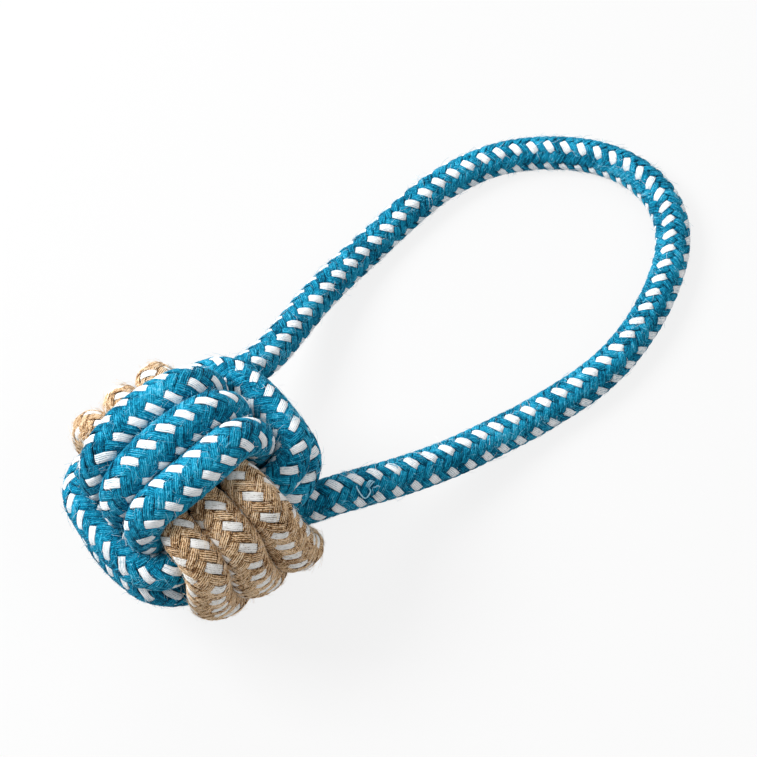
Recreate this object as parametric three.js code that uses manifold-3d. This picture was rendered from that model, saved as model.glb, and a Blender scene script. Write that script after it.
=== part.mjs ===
// Rope dog toy: a monkey's fist ball of blue and tan braided rope with a blue rope handle.
// Millimetres, +Z up. The toy lies on a table: the origin is on the table under the ball's centre and
// +X runs from the ball to the handle's bow. Three windings cross at right angles, each over one neighbour
// and under the other, round a core. The handle rope lies round the back of the ball and leaves it on both
// sides.

import * as THREE from "three";
import { mergeVertices } from "three/addons/utils/BufferGeometryUtils.js";
import Module from "manifold-3d";

// Driving dimensions of the rope and its fits
const TURNS = 3;                  // turns that lie side by side in each winding
const STRAND_WIDTH = 9.6;         // rope on the ball's outside, along the surface
const STRAND_THICKNESS = 8.9;     // the same, outwards
const CORNER_WIDTH_LOSS = 1.4;    // how much the rope gives where it bends round a neighbour
const CORNER_THICKNESS_LOSS = 0.7;
const HIDDEN_WIDTH_LOSS = 3.0;    // and where it passes under the winding that crosses it
const HIDDEN_THICKNESS_LOSS = 2.1;
const HANDLE_DIAMETER = 9.2;      // the same rope where nothing squeezes it
const LANE_GAP = 0.3;             // between neighbouring turns of one winding, before they bow apart
const LAYER_GAP = 0.4;            // between strands that cross
const CORE_GAP = 0.3;             // between the core and the innermost strands
const JOIN_GAP = 0.3;             // between two stretches of the handle rope

// Driving dimensions of the ball and the handle
const ROUNDING = 0.128;           // share by which face middles stand out further than corners
const LANE_BOW = 0.05;            // share by which the turns bow apart on the ball's outside
const BALL_FLAT = 0.5;            // depth of the flat that the ball rests on
const HANDLE_FLAT = HANDLE_DIAMETER / 10;
const FOLD_LENGTH = 22;           // rope that bends at each of the handle's two folds
const LEG_LENGTH = 42;            // rope between the two folds

// The handle's lie, as chosen points: distance beyond the ball's face, distance to the side, and height
// as a share of the drop from the exits to the table
const HANDLE_ROUTE = [
  [7, 23, 0.66], [20.5, 28, 0.39], [29, 31, 0.25], [42, 34, 0.07], [52, 35.2, 0], [64, 36, 0],
  [75, 36, 0], [86.5, 33.5, 0], [94, 30.3, 0], [101, 25.2, 0], [107.5, 18.5, 0], [113, 10, 0],
  [116, -0.5, 0], [114.5, -12.3, 0], [107.5, -22.4, 0], [97.5, -29, 0], [88, -33, 0], [75.5, -36, 0],
  [64.5, -36.4, 0], [54.5, -35, 0], [45, -33, 0.03], [34, -30.2, 0.15], [24, -28.2, 0.33], [11, -25, 0.59],
];

const EXIT_LEAD = 3;              // rope that runs on straight past each exit

// Facets
const STRAND_SIDES = 10;
const STEPS_PER_TURN = 40;
const HANDLE_SIDES = 10;
const ROOT_STEPS = 5;
const LEG_STEPS = 6;
const KNUCKLE_STEPS = 4;
const BOW_STEPS = 24;
const CORE_SEGMENTS = 24;
const CORE_BANDS = 16;
const ROUTE_DIVISIONS = 2000;
const MEASURING_STEPS = 8;        // finer steps in each facet where a winding's gap to itself is measured

// The knot's plan, from the middle of the ball. A strand on the outer level wraps the neighbour's edge
// strand, dips under the next winding's edge strand and crosses below it on the inner level. Those two edge
// strands lie two crossings apart, which sets the inner level.
const LANE = STRAND_WIDTH + LANE_GAP;
const EDGE_LANE = LANE * (TURNS - 1) / 2;
const CORNER_WIDTH = STRAND_WIDTH - CORNER_WIDTH_LOSS;
const CORNER_THICKNESS = STRAND_THICKNESS - CORNER_THICKNESS_LOSS;
const HIDDEN_WIDTH = STRAND_WIDTH - HIDDEN_WIDTH_LOSS;
const HIDDEN_THICKNESS = STRAND_THICKNESS - HIDDEN_THICKNESS_LOSS;
const CORNER_SQUEEZE = 0.8;       // share of the rounding that the tightest crossing loses
const CROSSING = ((HIDDEN_WIDTH + CORNER_THICKNESS) / 2 + LAYER_GAP) / (1 - CORNER_SQUEEZE * ROUNDING);
const INNER_LEVEL = EDGE_LANE + CROSSING * (Math.sqrt(7) - 1) / 2;
const OUTER_LEVEL = INNER_LEVEL + CROSSING;
const WRAP_ANGLE = Math.atan2(OUTER_LEVEL - EDGE_LANE, EDGE_LANE - INNER_LEVEL);
const WRAP_END = EDGE_LANE + CROSSING * WRAP_ANGLE;
const DIP_END = WRAP_END + CROSSING * (WRAP_ANGLE - Math.PI / 2);
const QUARTER = DIP_END + EDGE_LANE;
const LOOP = 4 * QUARTER;

// Shares of a loop, from the middle of a hidden pass: half the rope over which a turn changes lanes, the
// place where a winding's tucked ends stop, and the end of a wrap, where rope leaves the knot
const LANE_CHANGE = 0.14;
const TUCKED_END = 0.055;
const EXIT = (QUARTER - WRAP_END) / LOOP;

// Shares of the way from a hidden pass (0) to an outer pass (1) between which the rope fills out, first at
// the corner and then on the outside, and the share from which the turns bow apart
const CORNER_FILL_START = 0.25;
const CORNER_FILL_END = 0.42;
const OUTSIDE_FILL_START = 0.55;
const OUTSIDE_FILL_END = 0.9;
const BOW_START = 0.5;

// A direction's swell is 1 at a face's middle and 0 at a corner. The rounding keeps what has the even
// swell.
const FACE_SWELL = 1;
const EVEN_SWELL = 0.766;
const FACE_SCALE = 1 + ROUNDING * (FACE_SWELL - EVEN_SWELL);
const BALL_FACE = OUTER_LEVEL * FACE_SCALE + STRAND_THICKNESS / 2;
const BALL_HEIGHT = BALL_FACE - BALL_FLAT;
const CORE_RADIUS = INNER_LEVEL * FACE_SCALE - HIDDEN_THICKNESS / 2 - CORE_GAP;

const X = new THREE.Vector3(1, 0, 0);
const Y = new THREE.Vector3(0, 1, 0);
const Z = new THREE.Vector3(0, 0, 1);

const wasm = await Module();
wasm.setup();

// Point of a ring in its own plane at a share of the loop. Shares 0 and 0.5 are the middles of the hidden
// passes, 0.25 and 0.75 those of the outer passes.
function ringPoint(share) {
  const quarters = 4 * (share - Math.floor(share));
  const index = Math.floor(quarters);
  const rest = quarters - index;
  const run = (index % 2 === 0 ? 1 - rest : rest) * QUARTER;
  let out = OUTER_LEVEL;
  let along = run;
  if (run > DIP_END) {
    out = EDGE_LANE - (run - DIP_END);
    along = INNER_LEVEL;
  } else if (run > WRAP_END) {
    const angle = WRAP_ANGLE + Math.PI - (run - WRAP_END) / CROSSING;
    out = EDGE_LANE + CROSSING * Math.cos(angle);
    along = OUTER_LEVEL + CROSSING * Math.sin(angle);
  } else if (run > EDGE_LANE) {
    const angle = (run - EDGE_LANE) / CROSSING;
    out = INNER_LEVEL + CROSSING * Math.cos(angle);
    along = EDGE_LANE + CROSSING * Math.sin(angle);
  }
  return { out: index < 2 ? out : -out, along: index === 1 || index === 2 ? along : -along };
}

// How far a share of the loop is from a hidden pass (0) to an outer pass (1)
function passAt(share) {
  return 1 - Math.abs(4 * (share - Math.floor(2 * share) / 2) - 1);
}

// Lane of a winding at a share of its loops: each turn moves over by one lane under the pass at share 0.5
function laneAt(share, turns, firstLane) {
  const held = THREE.MathUtils.clamp(share, 0, turns - 1);
  const turn = Math.floor(held);
  const change = THREE.MathUtils.clamp((held - turn - 0.5) / (2 * LANE_CHANGE) + 0.5, 0, 1);
  const eased = change - Math.sin(2 * Math.PI * change) / (2 * Math.PI);
  return firstLane + LANE * (turn + eased);
}

// Rounds the knot from a cube towards a ball: face middles move out and corners move in
function rounded(point) {
  const square = point.lengthSq();
  const fourth = point.x ** 4 + point.y ** 4 + point.z ** 4;
  const swell = 1.5 * (fourth / square ** 2 - 1 / 3);
  return point.multiplyScalar(1 + ROUNDING * (swell - EVEN_SWELL));
}

function knotPoint(axes, share, lane) {
  const { out, along } = ringPoint(share);
  const bowed = lane * (1 + LANE_BOW * THREE.MathUtils.smoothstep(passAt(share), BOW_START, 1));
  const point = new THREE.Vector3().addScaledVector(axes.outer, out).addScaledVector(axes.inner, along);
  return rounded(point.addScaledVector(axes.normal, bowed));
}

// Rope's section at a share of the loop: slimmest on the hidden pass, fuller at the corner, full on the
// outside
function sectionAt(share) {
  const pass = passAt(share);
  const corner = THREE.MathUtils.smoothstep(pass, CORNER_FILL_START, CORNER_FILL_END);
  const outside = THREE.MathUtils.smoothstep(pass, OUTSIDE_FILL_START, OUTSIDE_FILL_END);
  const width = THREE.MathUtils.lerp(HIDDEN_WIDTH, CORNER_WIDTH, corner) + CORNER_WIDTH_LOSS * outside;
  const thickness = THREE.MathUtils.lerp(HIDDEN_THICKNESS, CORNER_THICKNESS, corner);
  return { width, thickness: thickness + CORNER_THICKNESS_LOSS * outside };
}

// Closed tube of oval sections along points, with the width along the winding's normal
function ropeGeometry(points, sections, normal) {
  const positions = [];
  const triangles = [];
  const last = points.length - 1;
  points.forEach((centre, i) => {
    const ahead = points[Math.min(i + 1, last)];
    const tangent = ahead.clone().sub(points[Math.max(i - 1, 0)]).normalize();
    const side = normal.clone().addScaledVector(tangent, -normal.dot(tangent)).normalize();
    const outward = tangent.clone().cross(side);
    for (let j = 0; j < STRAND_SIDES; j += 1) {
      const angle = 2 * Math.PI * (j + 0.5) / STRAND_SIDES;
      const vertex = centre.clone();
      vertex.addScaledVector(side, sections[i].width / 2 * Math.cos(angle));
      vertex.addScaledVector(outward, sections[i].thickness / 2 * Math.sin(angle));
      positions.push(...vertex.toArray());
    }
  });
  const startCentre = points.length * STRAND_SIDES;
  const endCentre = startCentre + 1;
  positions.push(...points[0].toArray(), ...points[last].toArray());
  for (let j = 0; j < STRAND_SIDES; j += 1) {
    const next = (j + 1) % STRAND_SIDES;
    for (let i = 0; i < last; i += 1) {
      const ring = i * STRAND_SIDES;
      const following = ring + STRAND_SIDES;
      triangles.push(ring + j, ring + next, following + next, ring + j, following + next, following + j);
    }
    triangles.push(startCentre, next, j);
    triangles.push(endCentre, last * STRAND_SIDES + j, last * STRAND_SIDES + next);
  }
  const geometry = new THREE.BufferGeometry();
  geometry.setAttribute("position", new THREE.Float32BufferAttribute(positions, 3));
  geometry.setIndex(triangles);
  return geometry;
}

// Middle line and sections of rope on the knot, from a share of the loop on
function ropeRun(axes, start, length, laneOf) {
  const steps = Math.round(length * STEPS_PER_TURN);
  const shares = Array.from({ length: steps + 1 }, (_, i) => start + length * i / steps);
  const points = shares.map((share) => knotPoint(axes, share, laneOf(share)));
  return { points, sections: shares.map(sectionAt) };
}

// Least gap between turns of one rope, measured on fine points along its middle line
function leastGapToItself({ points, sections }) {
  const fine = [];
  for (let i = 0; i + 1 < points.length; i += 1) {
    for (let k = 0; k < MEASURING_STEPS; k += 1) {
      const part = k / MEASURING_STEPS;
      const width = THREE.MathUtils.lerp(sections[i].width, sections[i + 1].width, part);
      fine.push({ step: i + part, width, point: points[i].clone().lerp(points[i + 1], part) });
    }
  }
  let least = Infinity;
  fine.forEach((a, i) => {
    for (const b of fine.slice(i + 1)) {
      if (b.step - a.step < STEPS_PER_TURN / 2) continue;
      least = Math.min(least, a.point.distanceTo(b.point) - (a.width + b.width) / 2);
    }
  });
  return least;
}

// One winding: an unbroken rope of several turns with both ends tucked under the winding that crosses it
function windingGeometry(name, axes, turns, firstLane) {
  const laneOf = (share) => laneAt(share, turns, firstLane);
  const run = ropeRun(axes, TUCKED_END - 0.5, turns - 2 * TUCKED_END, laneOf);
  console.log(`${name}: least gap to itself ${leastGapToItself(run).toFixed(2)} mm`);
  return ropeGeometry(run.points, run.sections, axes.normal);
}

// The handle rope's stretch round the back of the ball, which runs straight for one diameter at both exits
function slingRun(axes) {
  const { points, sections } = ropeRun(axes, 0.5 - EXIT, 0.5 + 2 * EXIT, () => -EDGE_LANE);
  const leftWay = points[0].clone().sub(points[1]).normalize();
  const rightWay = points.at(-1).clone().sub(points.at(-2)).normalize();
  const leftExit = points[0].clone().addScaledVector(leftWay, HANDLE_DIAMETER);
  const rightExit = points.at(-1).clone().addScaledVector(rightWay, HANDLE_DIAMETER);
  const round = { width: HANDLE_DIAMETER, thickness: HANDLE_DIAMETER };
  const geometry = ropeGeometry([leftExit, ...points, rightExit], [round, ...sections, round], axes.normal);
  return { geometry, leftExit, leftWay, rightExit, rightWay };
}

// A length of the handle's route, from one distance along it to another
class Stretch extends THREE.Curve {
  constructor(route, from, to) {
    super();
    this.route = route;
    this.from = from / route.getLength();
    this.to = to / route.getLength();
  }

  getPoint(t, target = new THREE.Vector3()) {
    return this.route.getPointAt(THREE.MathUtils.lerp(this.from, this.to, t), target);
  }
}

function handleGeometry(route, from, to, steps) {
  const corners = Array.from({ length: HANDLE_SIDES }, (_, i) => {
    const angle = 2 * Math.PI * (i + 0.5) / HANDLE_SIDES;
    return new THREE.Vector2(Math.cos(angle), Math.sin(angle)).multiplyScalar(HANDLE_DIAMETER / 2);
  });
  const extrudePath = new Stretch(route, from, to);
  return new THREE.ExtrudeGeometry(new THREE.Shape(corners), { extrudePath, steps, bevelEnabled: false });
}

function toSolid(geometry) {
  const bare = new THREE.BufferGeometry();
  bare.setAttribute("position", geometry.getAttribute("position").clone());
  bare.setIndex(geometry.getIndex());
  const merged = mergeVertices(bare, 1e-4);
  const vertProperties = new Float32Array(merged.getAttribute("position").array);
  const triVerts = new Uint32Array(merged.getIndex().array);
  return new wasm.Manifold(new wasm.Mesh({ numProp: 3, vertProperties, triVerts }));
}

// Cuts away what lies below a level, which leaves the flats that the toy rests on
function restingOn(level, geometry) {
  geometry.computeBoundingBox();
  const size = geometry.boundingBox.getSize(new THREE.Vector3());
  const centre = geometry.boundingBox.getCenter(new THREE.Vector3());
  const below = new THREE.BoxGeometry(2 * size.x, 2 * size.y, 2 * size.z);
  below.translate(centre.x, centre.y, level - size.z);
  const mesh = toSolid(geometry).subtract(toSolid(below)).getMesh();
  const cut = new THREE.BufferGeometry();
  cut.setAttribute("position", new THREE.BufferAttribute(mesh.vertProperties, 3));
  cut.setIndex(new THREE.BufferAttribute(mesh.triVerts, 1));
  return cut;
}

function fabric(color) {
  return new THREE.MeshStandardMaterial({ color, roughness: 0.95, metalness: 0 });
}

const blueRope = fabric(0x1d7096);
const tanRope = fabric(0xae875c);
const offcuts = fabric(0x1a4257);

function addMesh(group, name, geometry, material) {
  const mesh = new THREE.Mesh(geometry, material);
  mesh.name = name;
  group.add(mesh);
}

// Ball
const lengthwise = { outer: Z, inner: X, normal: Y };
const girth = { outer: X, inner: Y, normal: Z };
const crosswise = { outer: Y, inner: Z, normal: X };
const sling = slingRun(girth);
const ball = new THREE.Group();
ball.position.z = BALL_HEIGHT;
addMesh(ball, "core_wad", new THREE.SphereGeometry(CORE_RADIUS, CORE_SEGMENTS, CORE_BANDS), offcuts);
const lengthwiseTurns = windingGeometry("blue_lengthwise_winding", lengthwise, TURNS, -EDGE_LANE);
addMesh(ball, "blue_lengthwise_winding", restingOn(-BALL_HEIGHT, lengthwiseTurns), blueRope);
const girthTurns = windingGeometry("blue_girth_winding", girth, TURNS - 1, LANE - EDGE_LANE);
addMesh(ball, "blue_girth_winding", girthTurns, blueRope);
const tanTurns = windingGeometry("tan_winding", crosswise, TURNS, -EDGE_LANE);
addMesh(ball, "tan_winding", tanTurns, tanRope);
addMesh(ball, "handle_sling", sling.geometry, blueRope);

// Handle: the rope's lie from the left exit round the bow to the right exit
const BOW_HEIGHT = HANDLE_DIAMETER / 2 - HANDLE_FLAT;
const leftExit = sling.leftExit.clone().add(ball.position);
const rightExit = sling.rightExit.clone().add(ball.position);
const drop = leftExit.z - BOW_HEIGHT;
const chosen = HANDLE_ROUTE.map(([out, side, rise]) => (
  new THREE.Vector3(BALL_FACE + out, side, BOW_HEIGHT + rise * drop)
));
const route = new THREE.CatmullRomCurve3([
  leftExit,
  leftExit.clone().addScaledVector(sling.leftWay, EXIT_LEAD),
  ...chosen,
  rightExit.clone().addScaledVector(sling.rightWay, EXIT_LEAD),
  rightExit,
], false, "centripetal");
route.arcLengthDivisions = ROUTE_DIVISIONS;
const routeLength = route.getLength();
const rootEnd = FOLD_LENGTH;
const legEnd = rootEnd + LEG_LENGTH;
const knuckleEnd = legEnd + FOLD_LENGTH;
const handle = new THREE.Group();
const sides = [
  ["handle_root", 0, rootEnd, ROOT_STEPS],
  ["handle_leg", rootEnd, legEnd, LEG_STEPS],
  ["handle_knuckle", legEnd, knuckleEnd, KNUCKLE_STEPS],
];
for (const [name, from, to, steps] of sides) {
  const left = handleGeometry(route, from + JOIN_GAP, to, steps);
  const right = handleGeometry(route, routeLength - to, routeLength - from - JOIN_GAP, steps);
  addMesh(handle, `${name}_left`, restingOn(0, left), blueRope);
  addMesh(handle, `${name}_right`, restingOn(0, right), blueRope);
}
const bow = handleGeometry(route, knuckleEnd + JOIN_GAP, routeLength - knuckleEnd - JOIN_GAP, BOW_STEPS);
addMesh(handle, "handle_bow", restingOn(0, bow), blueRope);

const toy = new THREE.Group();
toy.add(ball, handle);
export default toy;
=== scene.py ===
"""Rope dog toy: a monkey's fist ball of blue and tan braided rope with a loop handle that lies on a table."""

import bpy
import numpy as np
from mathutils import Matrix


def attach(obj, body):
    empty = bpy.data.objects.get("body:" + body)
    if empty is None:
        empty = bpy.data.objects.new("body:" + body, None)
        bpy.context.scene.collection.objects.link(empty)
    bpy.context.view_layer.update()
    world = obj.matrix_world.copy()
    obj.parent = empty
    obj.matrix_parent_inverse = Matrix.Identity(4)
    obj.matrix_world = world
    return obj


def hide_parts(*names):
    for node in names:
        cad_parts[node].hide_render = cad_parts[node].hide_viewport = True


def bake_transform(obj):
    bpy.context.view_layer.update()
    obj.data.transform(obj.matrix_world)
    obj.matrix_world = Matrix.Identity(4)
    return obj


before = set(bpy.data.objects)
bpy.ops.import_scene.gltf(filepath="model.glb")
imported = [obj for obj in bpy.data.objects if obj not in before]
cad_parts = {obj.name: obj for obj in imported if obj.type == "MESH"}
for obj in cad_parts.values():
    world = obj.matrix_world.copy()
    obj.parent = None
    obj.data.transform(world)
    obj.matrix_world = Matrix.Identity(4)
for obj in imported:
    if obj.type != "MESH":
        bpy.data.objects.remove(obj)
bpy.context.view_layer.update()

# Core wad: the imported offcuts of blue yarn that the windings are pulled tight around. It is a lumpy ball of
# matted fibre, and shows only between the turns, in blue darkened by painted shade.
MM = 0.001
BALL_CENTRE = np.array([0.0, 0.0, 30.461])
WAD_RADIUS = 13.8
WAD_LUMP = 0.35
WAD_COLUMNS, WAD_ROWS = 96, 48
# Tones of the blue offcuts, made darker than the dye by painted shade.
WAD_DYE_AND_SHADE_TONES = ((0.3, (0.001, 0.014, 0.026)), (0.75, (0.03, 0.14, 0.21)), (0.5, (0.008, 0.05, 0.08)))
WAD_YARN_TURN, WAD_YARN_SCALE = (0.5, 0.3, 0.9), (350, 1400, 900)
WAD_FLUFF_SCALE = 1800.0
WAD_BUMP, WAD_BUMP_HEIGHT = 0.8, 0.0006


def mesh_object(name, vertices, smooth_faces, flat_faces=()):
    """Object at the origin from vertices in millimetres and groups of faces, each group of one face size."""
    groups = [*smooth_faces, *flat_faces]
    corners = np.concatenate([f.ravel() for f in groups])
    sizes = np.concatenate([np.full(len(f), f.shape[1]) for f in groups])
    smooth = np.arange(len(sizes)) < sum(len(f) for f in smooth_faces)
    mesh = bpy.data.meshes.new(name)
    mesh.vertices.add(len(vertices))
    mesh.vertices.foreach_set("co", (vertices * MM).astype(np.float32).ravel())
    mesh.loops.add(len(corners))
    mesh.loops.foreach_set("vertex_index", corners.astype(np.int32))
    mesh.polygons.add(len(sizes))
    mesh.polygons.foreach_set("loop_start", (np.cumsum(sizes) - sizes).astype(np.int32))
    mesh.polygons.foreach_set("use_smooth", smooth)
    mesh.update(calc_edges=True)
    piece = bpy.data.objects.new(name, mesh)
    bpy.context.scene.collection.objects.link(piece)
    return piece


def wad_mesh():
    """Sphere of latitude rings. Its radius varies by a wave five times round, whose sign changes down the
    ball, and a weaker one eleven times round, both fading to the poles."""
    around = np.linspace(0, 2 * np.pi, WAD_COLUMNS, endpoint=False)[None, :]
    down = (np.arange(1, WAD_ROWS) * np.pi / WAD_ROWS)[:, None]
    lumps = np.sin(5 * around + 3 * down) * np.sin(4 * down) + 0.6 * np.sin(11 * around - 7 * down)
    radius = WAD_RADIUS - WAD_LUMP + WAD_LUMP * 0.5 * lumps * np.sin(down)
    grid = np.stack([radius * np.sin(down) * np.cos(around), radius * np.sin(down) * np.sin(around),
                     radius * np.cos(down) + 0 * around], -1)
    poles = np.array([[0, 0, WAD_RADIUS - WAD_LUMP], [0, 0, WAD_LUMP - WAD_RADIUS]])
    vertices = np.concatenate([grid.reshape(-1, 3), poles]) + BALL_CENTRE
    index = np.arange((WAD_ROWS - 1) * WAD_COLUMNS).reshape(WAD_ROWS - 1, WAD_COLUMNS)
    turned = np.roll(index, -1, axis=1)
    quads = np.stack([index[:-1], index[1:], turned[1:], turned[:-1]], -1).reshape(-1, 4)
    top, bottom = index.size, index.size + 1
    caps = np.concatenate([np.stack([np.full(WAD_COLUMNS, top), index[0], turned[0]], -1),
                           np.stack([np.full(WAD_COLUMNS, bottom), turned[-1], index[-1]], -1)])
    return vertices, [quads, caps]


def put(tree, kind, *inputs, **options):
    """Adds a node with its options, and links or sets its inputs in their order. Gives its first output."""
    node = tree.nodes.new("ShaderNode" + kind)
    for key, value in options.items():
        setattr(node, key, value)
    for socket, value in zip(node.inputs, inputs):
        if isinstance(value, bpy.types.NodeSocket):
            tree.links.new(value, socket)
        elif value is not None:
            socket.default_value = value
    return node.outputs[0]


def tone_ramp(tree, tone, stops):
    """Colour at a tone from 0 to 1, by stops of place and colour."""
    output = put(tree, "ValToRGB", tone)
    ramp = output.node.color_ramp
    for number, (place, colour) in enumerate(stops):
        stop = ramp.elements[number] if number < 2 else ramp.elements.new(place)
        stop.position = place
        stop.color = (*colour, 1)
    return output


def matt_material(name, roughness, specular):
    """New material with a matt shader. Gives the material, its node tree and its shader."""
    material = bpy.data.materials.new(name)
    material.use_nodes = True
    shader = material.node_tree.nodes["Principled BSDF"]
    shader.inputs["Roughness"].default_value = roughness
    shader.inputs["Specular IOR Level"].default_value = specular
    return material, material.node_tree, shader


def dress(tree, shader, colour, tone, bump_strength, bump_height):
    """Gives the shader its colour and a bump whose height is the tone."""
    tree.links.new(colour, shader.inputs["Base Color"])
    bump = put(tree, "Bump", bump_strength, bump_height)
    tree.links.new(tone, bump.node.inputs["Height"])
    tree.links.new(bump, shader.inputs["Normal"])


def wad_material():
    """Matted offcuts: noise drawn out one way for the yarns and clouds of fine noise for the fluff. Half
    their sum picks the tone, of blue darkened by painted shade, and lifts the bump."""
    material, tree, shader = matt_material("blue_offcuts_with_painted_shade", 1.0, 0.02)
    place = tree.nodes.new("ShaderNodeTexCoord").outputs["Object"]
    drawn = put(tree, "Mapping", place, None, WAD_YARN_TURN, WAD_YARN_SCALE)
    yarns = put(tree, "TexNoise", drawn, None, 1.0, 3.0, 0.6)
    fluff = put(tree, "TexNoise", place, None, WAD_FLUFF_SCALE, 3.0, 0.7)
    tone = put(tree, "Math", yarns, fluff, operation="ADD")
    tone = put(tree, "Math", tone, 0.5, operation="MULTIPLY")
    dress(tree, shader, tone_ramp(tree, tone, WAD_DYE_AND_SHADE_TONES), tone, WAD_BUMP, WAD_BUMP_HEIGHT)
    return material


wad = mesh_object("wadding_ball", *wad_mesh())
wad.data.materials.append(wad_material())
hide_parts("core_wad")
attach(wad, "ball")

# Blue lengthwise winding: three turns of blue rope from the top of the ball over its front and under its
# bottom. The rope is a sixteen-strand cotton braid over a soft filling, eight strands each way, and every
# other strand of one way is white. Its ends are tucked under the girth winding.

# The ring that every winding follows, its lanes, and how the knot is rounded.
LANE = 9.9
CROSSING = 8.690
INNER_LEVEL = LANE + CROSSING * (np.sqrt(7) - 1) / 2
OUTER_LEVEL = INNER_LEVEL + CROSSING
WRAP_ANGLE = np.arctan2(OUTER_LEVEL - LANE, LANE - INNER_LEVEL)
WRAP_END = LANE + CROSSING * WRAP_ANGLE
DIP_END = WRAP_END + CROSSING * (WRAP_ANGLE - np.pi / 2)
QUARTER = DIP_END + LANE
LOOP = 4 * QUARTER
ROUNDING = 0.128
EVEN_SWELL = 0.766
BACK_FLAT, LEFT_FLAT = 0.085, 0.06
BACK_REACH, LEFT_REACH, LEFT_START = (8, 26), (14, 28), (-14, 0)
LANE_CHANGE = 0.14
TUCKED_END = 0.055
X, Y, Z = np.eye(3)
# Where the eased parts of a turn begin and end, as distances on the ring, or as shares of the way from a
# hidden pass to an outer one.
FRONT_OUT, LOW_OUT, LOW_DOWN, TWIST_DOWN = (2, 16), (4, 16), (-10, 8), (-21, -3)
SLIDE_UP, SLIDE_DOWN = (2, 16), (4, 16)
SLIDE_UP_LOSS, SLIDE_DOWN_LOSS = 0.5, 1.35
FRONT_PASS, CORNER_PASS, OUTSIDE_PASS = (0.15, 0.5), (0.25, 0.45), (0.5, 0.9)
SPREAD_PASS, SHOWN_PASS, FINE_PASS = (0.5, 1), (0.3, 0.5), (0.2, 0.4)
# The rope's width and thickness on a hidden pass, with what the corner and the outside add.
HIDDEN_WIDTH, CORNER_WIDER, OUTSIDE_WIDER = 7.4, 1.9, 1.0
HIDDEN_THICKNESS, CORNER_THICKER, OUTSIDE_THICKER = 7.4, 1.5, 0.4
TABLE_EASE = 0.5
OUTSIDE_STEP, HIDDEN_STEP = 0.45, 1.1
FINE_STEPS = 4000
# The braid on the ball: how far strands rise over others and how steeply, how far they are drawn in where
# they dive, and how much wider the white ones are.
BLUE_PITCH = 19.9
BALL_BRAID = dict(lift=0.23, steep=2.6, pinch=0.06, white_width=-0.14)
STRANDS_EACH_WAY = 8
STRAND_THICKNESS, STRAND_FILL = 0.8, 1.1
STRAND_WANDER, THICKNESS_WANDER = 0.05, 0.15
WANDER_WAVES = np.array([3.1, 5.7, 11.3])
YARNS = 5
YARN_GROOVE = 0.3
UNDERSIDE_PLACES, UNDERSIDE_HEIGHTS = (-0.3, 0, 0.3), (-0.8, -1, -0.8)
FILLING_SIDES, FILLING_DEPTH = 12, 1.35
# Loose fibres: how many, how thick, how they thin to the tip, and how far they reach, rise, turn and curl.
BLUE_FIBRES_PER_MM = 14
FIBRE_RADIUS, FIBRE_THINNING = 0.042, 0.6
FIBRE_RINGS, FIBRE_SIDES = 3, 3
FIBRE_ROOT_HEIGHT = 0.2
FIBRE_REACH, FIBRE_REACH_SPREAD, FIBRE_REACH_LIMITS = 0.5, 0.5, (0.7, 3.8)
FIBRE_RISE, FIBRE_FALL = (0.05, 0.3), 1.4
FIBRE_TURN, FIBRE_CURL = 0.9, 0.35
# The flat map: a tube's band in its cell, the small rounds of its ends, and the heights of the rope's parts.
BAND_START, BAND_LENGTH, BAND_EDGE = 0.02, 0.9, 0.05
END_START, END_STEP, END_WIDTH, END_HEIGHT = 0.94, 0.03, 0.01, 0.4
STRAND_BAND, FILLING_BAND, FIBRE_BAND = (0, 0.8), (0.8, 0.83), (0.84, 1)
FIBRE_COLUMNS = 30
rng = np.random.default_rng(7)


def smoothstep(x, low, high):
    """Cubic ease from 0 at low to 1 at high."""
    t = np.clip((x - low) / (high - low), 0, 1)
    return t * t * (3 - 2 * t)


def pass_share(share):
    """How far each share of a loop is from a hidden pass (0) to an outer pass (1)."""
    return 1 - np.abs(4 * (share - np.floor(2 * share) / 2) - 1)


def ring_line(share):
    """Distances out and along at shares of a ring: a straight outer pass, a wrap arc round the neighbour's
    edge turn, a dip arc under the next winding's edge turn and a straight hidden pass, mirrored in each
    quarter."""
    quarters = 4 * (share - np.floor(share))
    index = np.floor(quarters).astype(int)
    rest = quarters - index
    run = np.where(index % 2 == 0, 1 - rest, rest) * QUARTER
    wrap = np.clip((run - LANE) / CROSSING, 0, WRAP_ANGLE)
    dip = WRAP_ANGLE + np.pi - np.clip((run - WRAP_END) / CROSSING, 0, WRAP_ANGLE - np.pi / 2)
    out = np.where(run < WRAP_END, INNER_LEVEL + CROSSING * np.cos(wrap), LANE + CROSSING * np.cos(dip))
    along = np.where(run < WRAP_END, LANE + CROSSING * np.sin(wrap), OUTER_LEVEL + CROSSING * np.sin(dip))
    along = np.where(run < LANE, run, along)
    out = np.where(run > DIP_END, LANE - (run - DIP_END), out)
    along = np.where(run > DIP_END, INNER_LEVEL, along)
    return np.where(index < 2, out, -out), np.where((index == 1) | (index == 2), along, -along)


def lane_line(share, turns, first_lane):
    """Sideways place at shares of a winding: each turn eases over by one lane under the pass at a half
    share."""
    held = np.clip(share, 0, turns - 1)
    turn = np.floor(held)
    change = np.clip((held - turn - 0.5) / (2 * LANE_CHANGE) + 0.5, 0, 1)
    return first_lane + LANE * (turn + change - np.sin(2 * np.pi * change) / (2 * np.pi))


def low_side(share):
    """1 low on the side where the ring's way out is negative, eased to 0 at its top and where it is
    hidden."""
    out, along = ring_line(share)
    low = smoothstep(-along, *LOW_DOWN) * smoothstep(-out, *LOW_OUT)
    return low * smoothstep(pass_share(share), *FRONT_PASS)


def front_side(share):
    """1 on the front, where the ring's way out is negative, eased to 0 where it is hidden."""
    out, _ = ring_line(share)
    return smoothstep(-out, *FRONT_OUT) * smoothstep(pass_share(share), *FRONT_PASS)


def down_front(share):
    """0 at the top of the front, eased to 1 at its middle, and 0 again where it is hidden."""
    _, along = ring_line(share)
    return front_side(share) * smoothstep(-along, *TWIST_DOWN)


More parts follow.
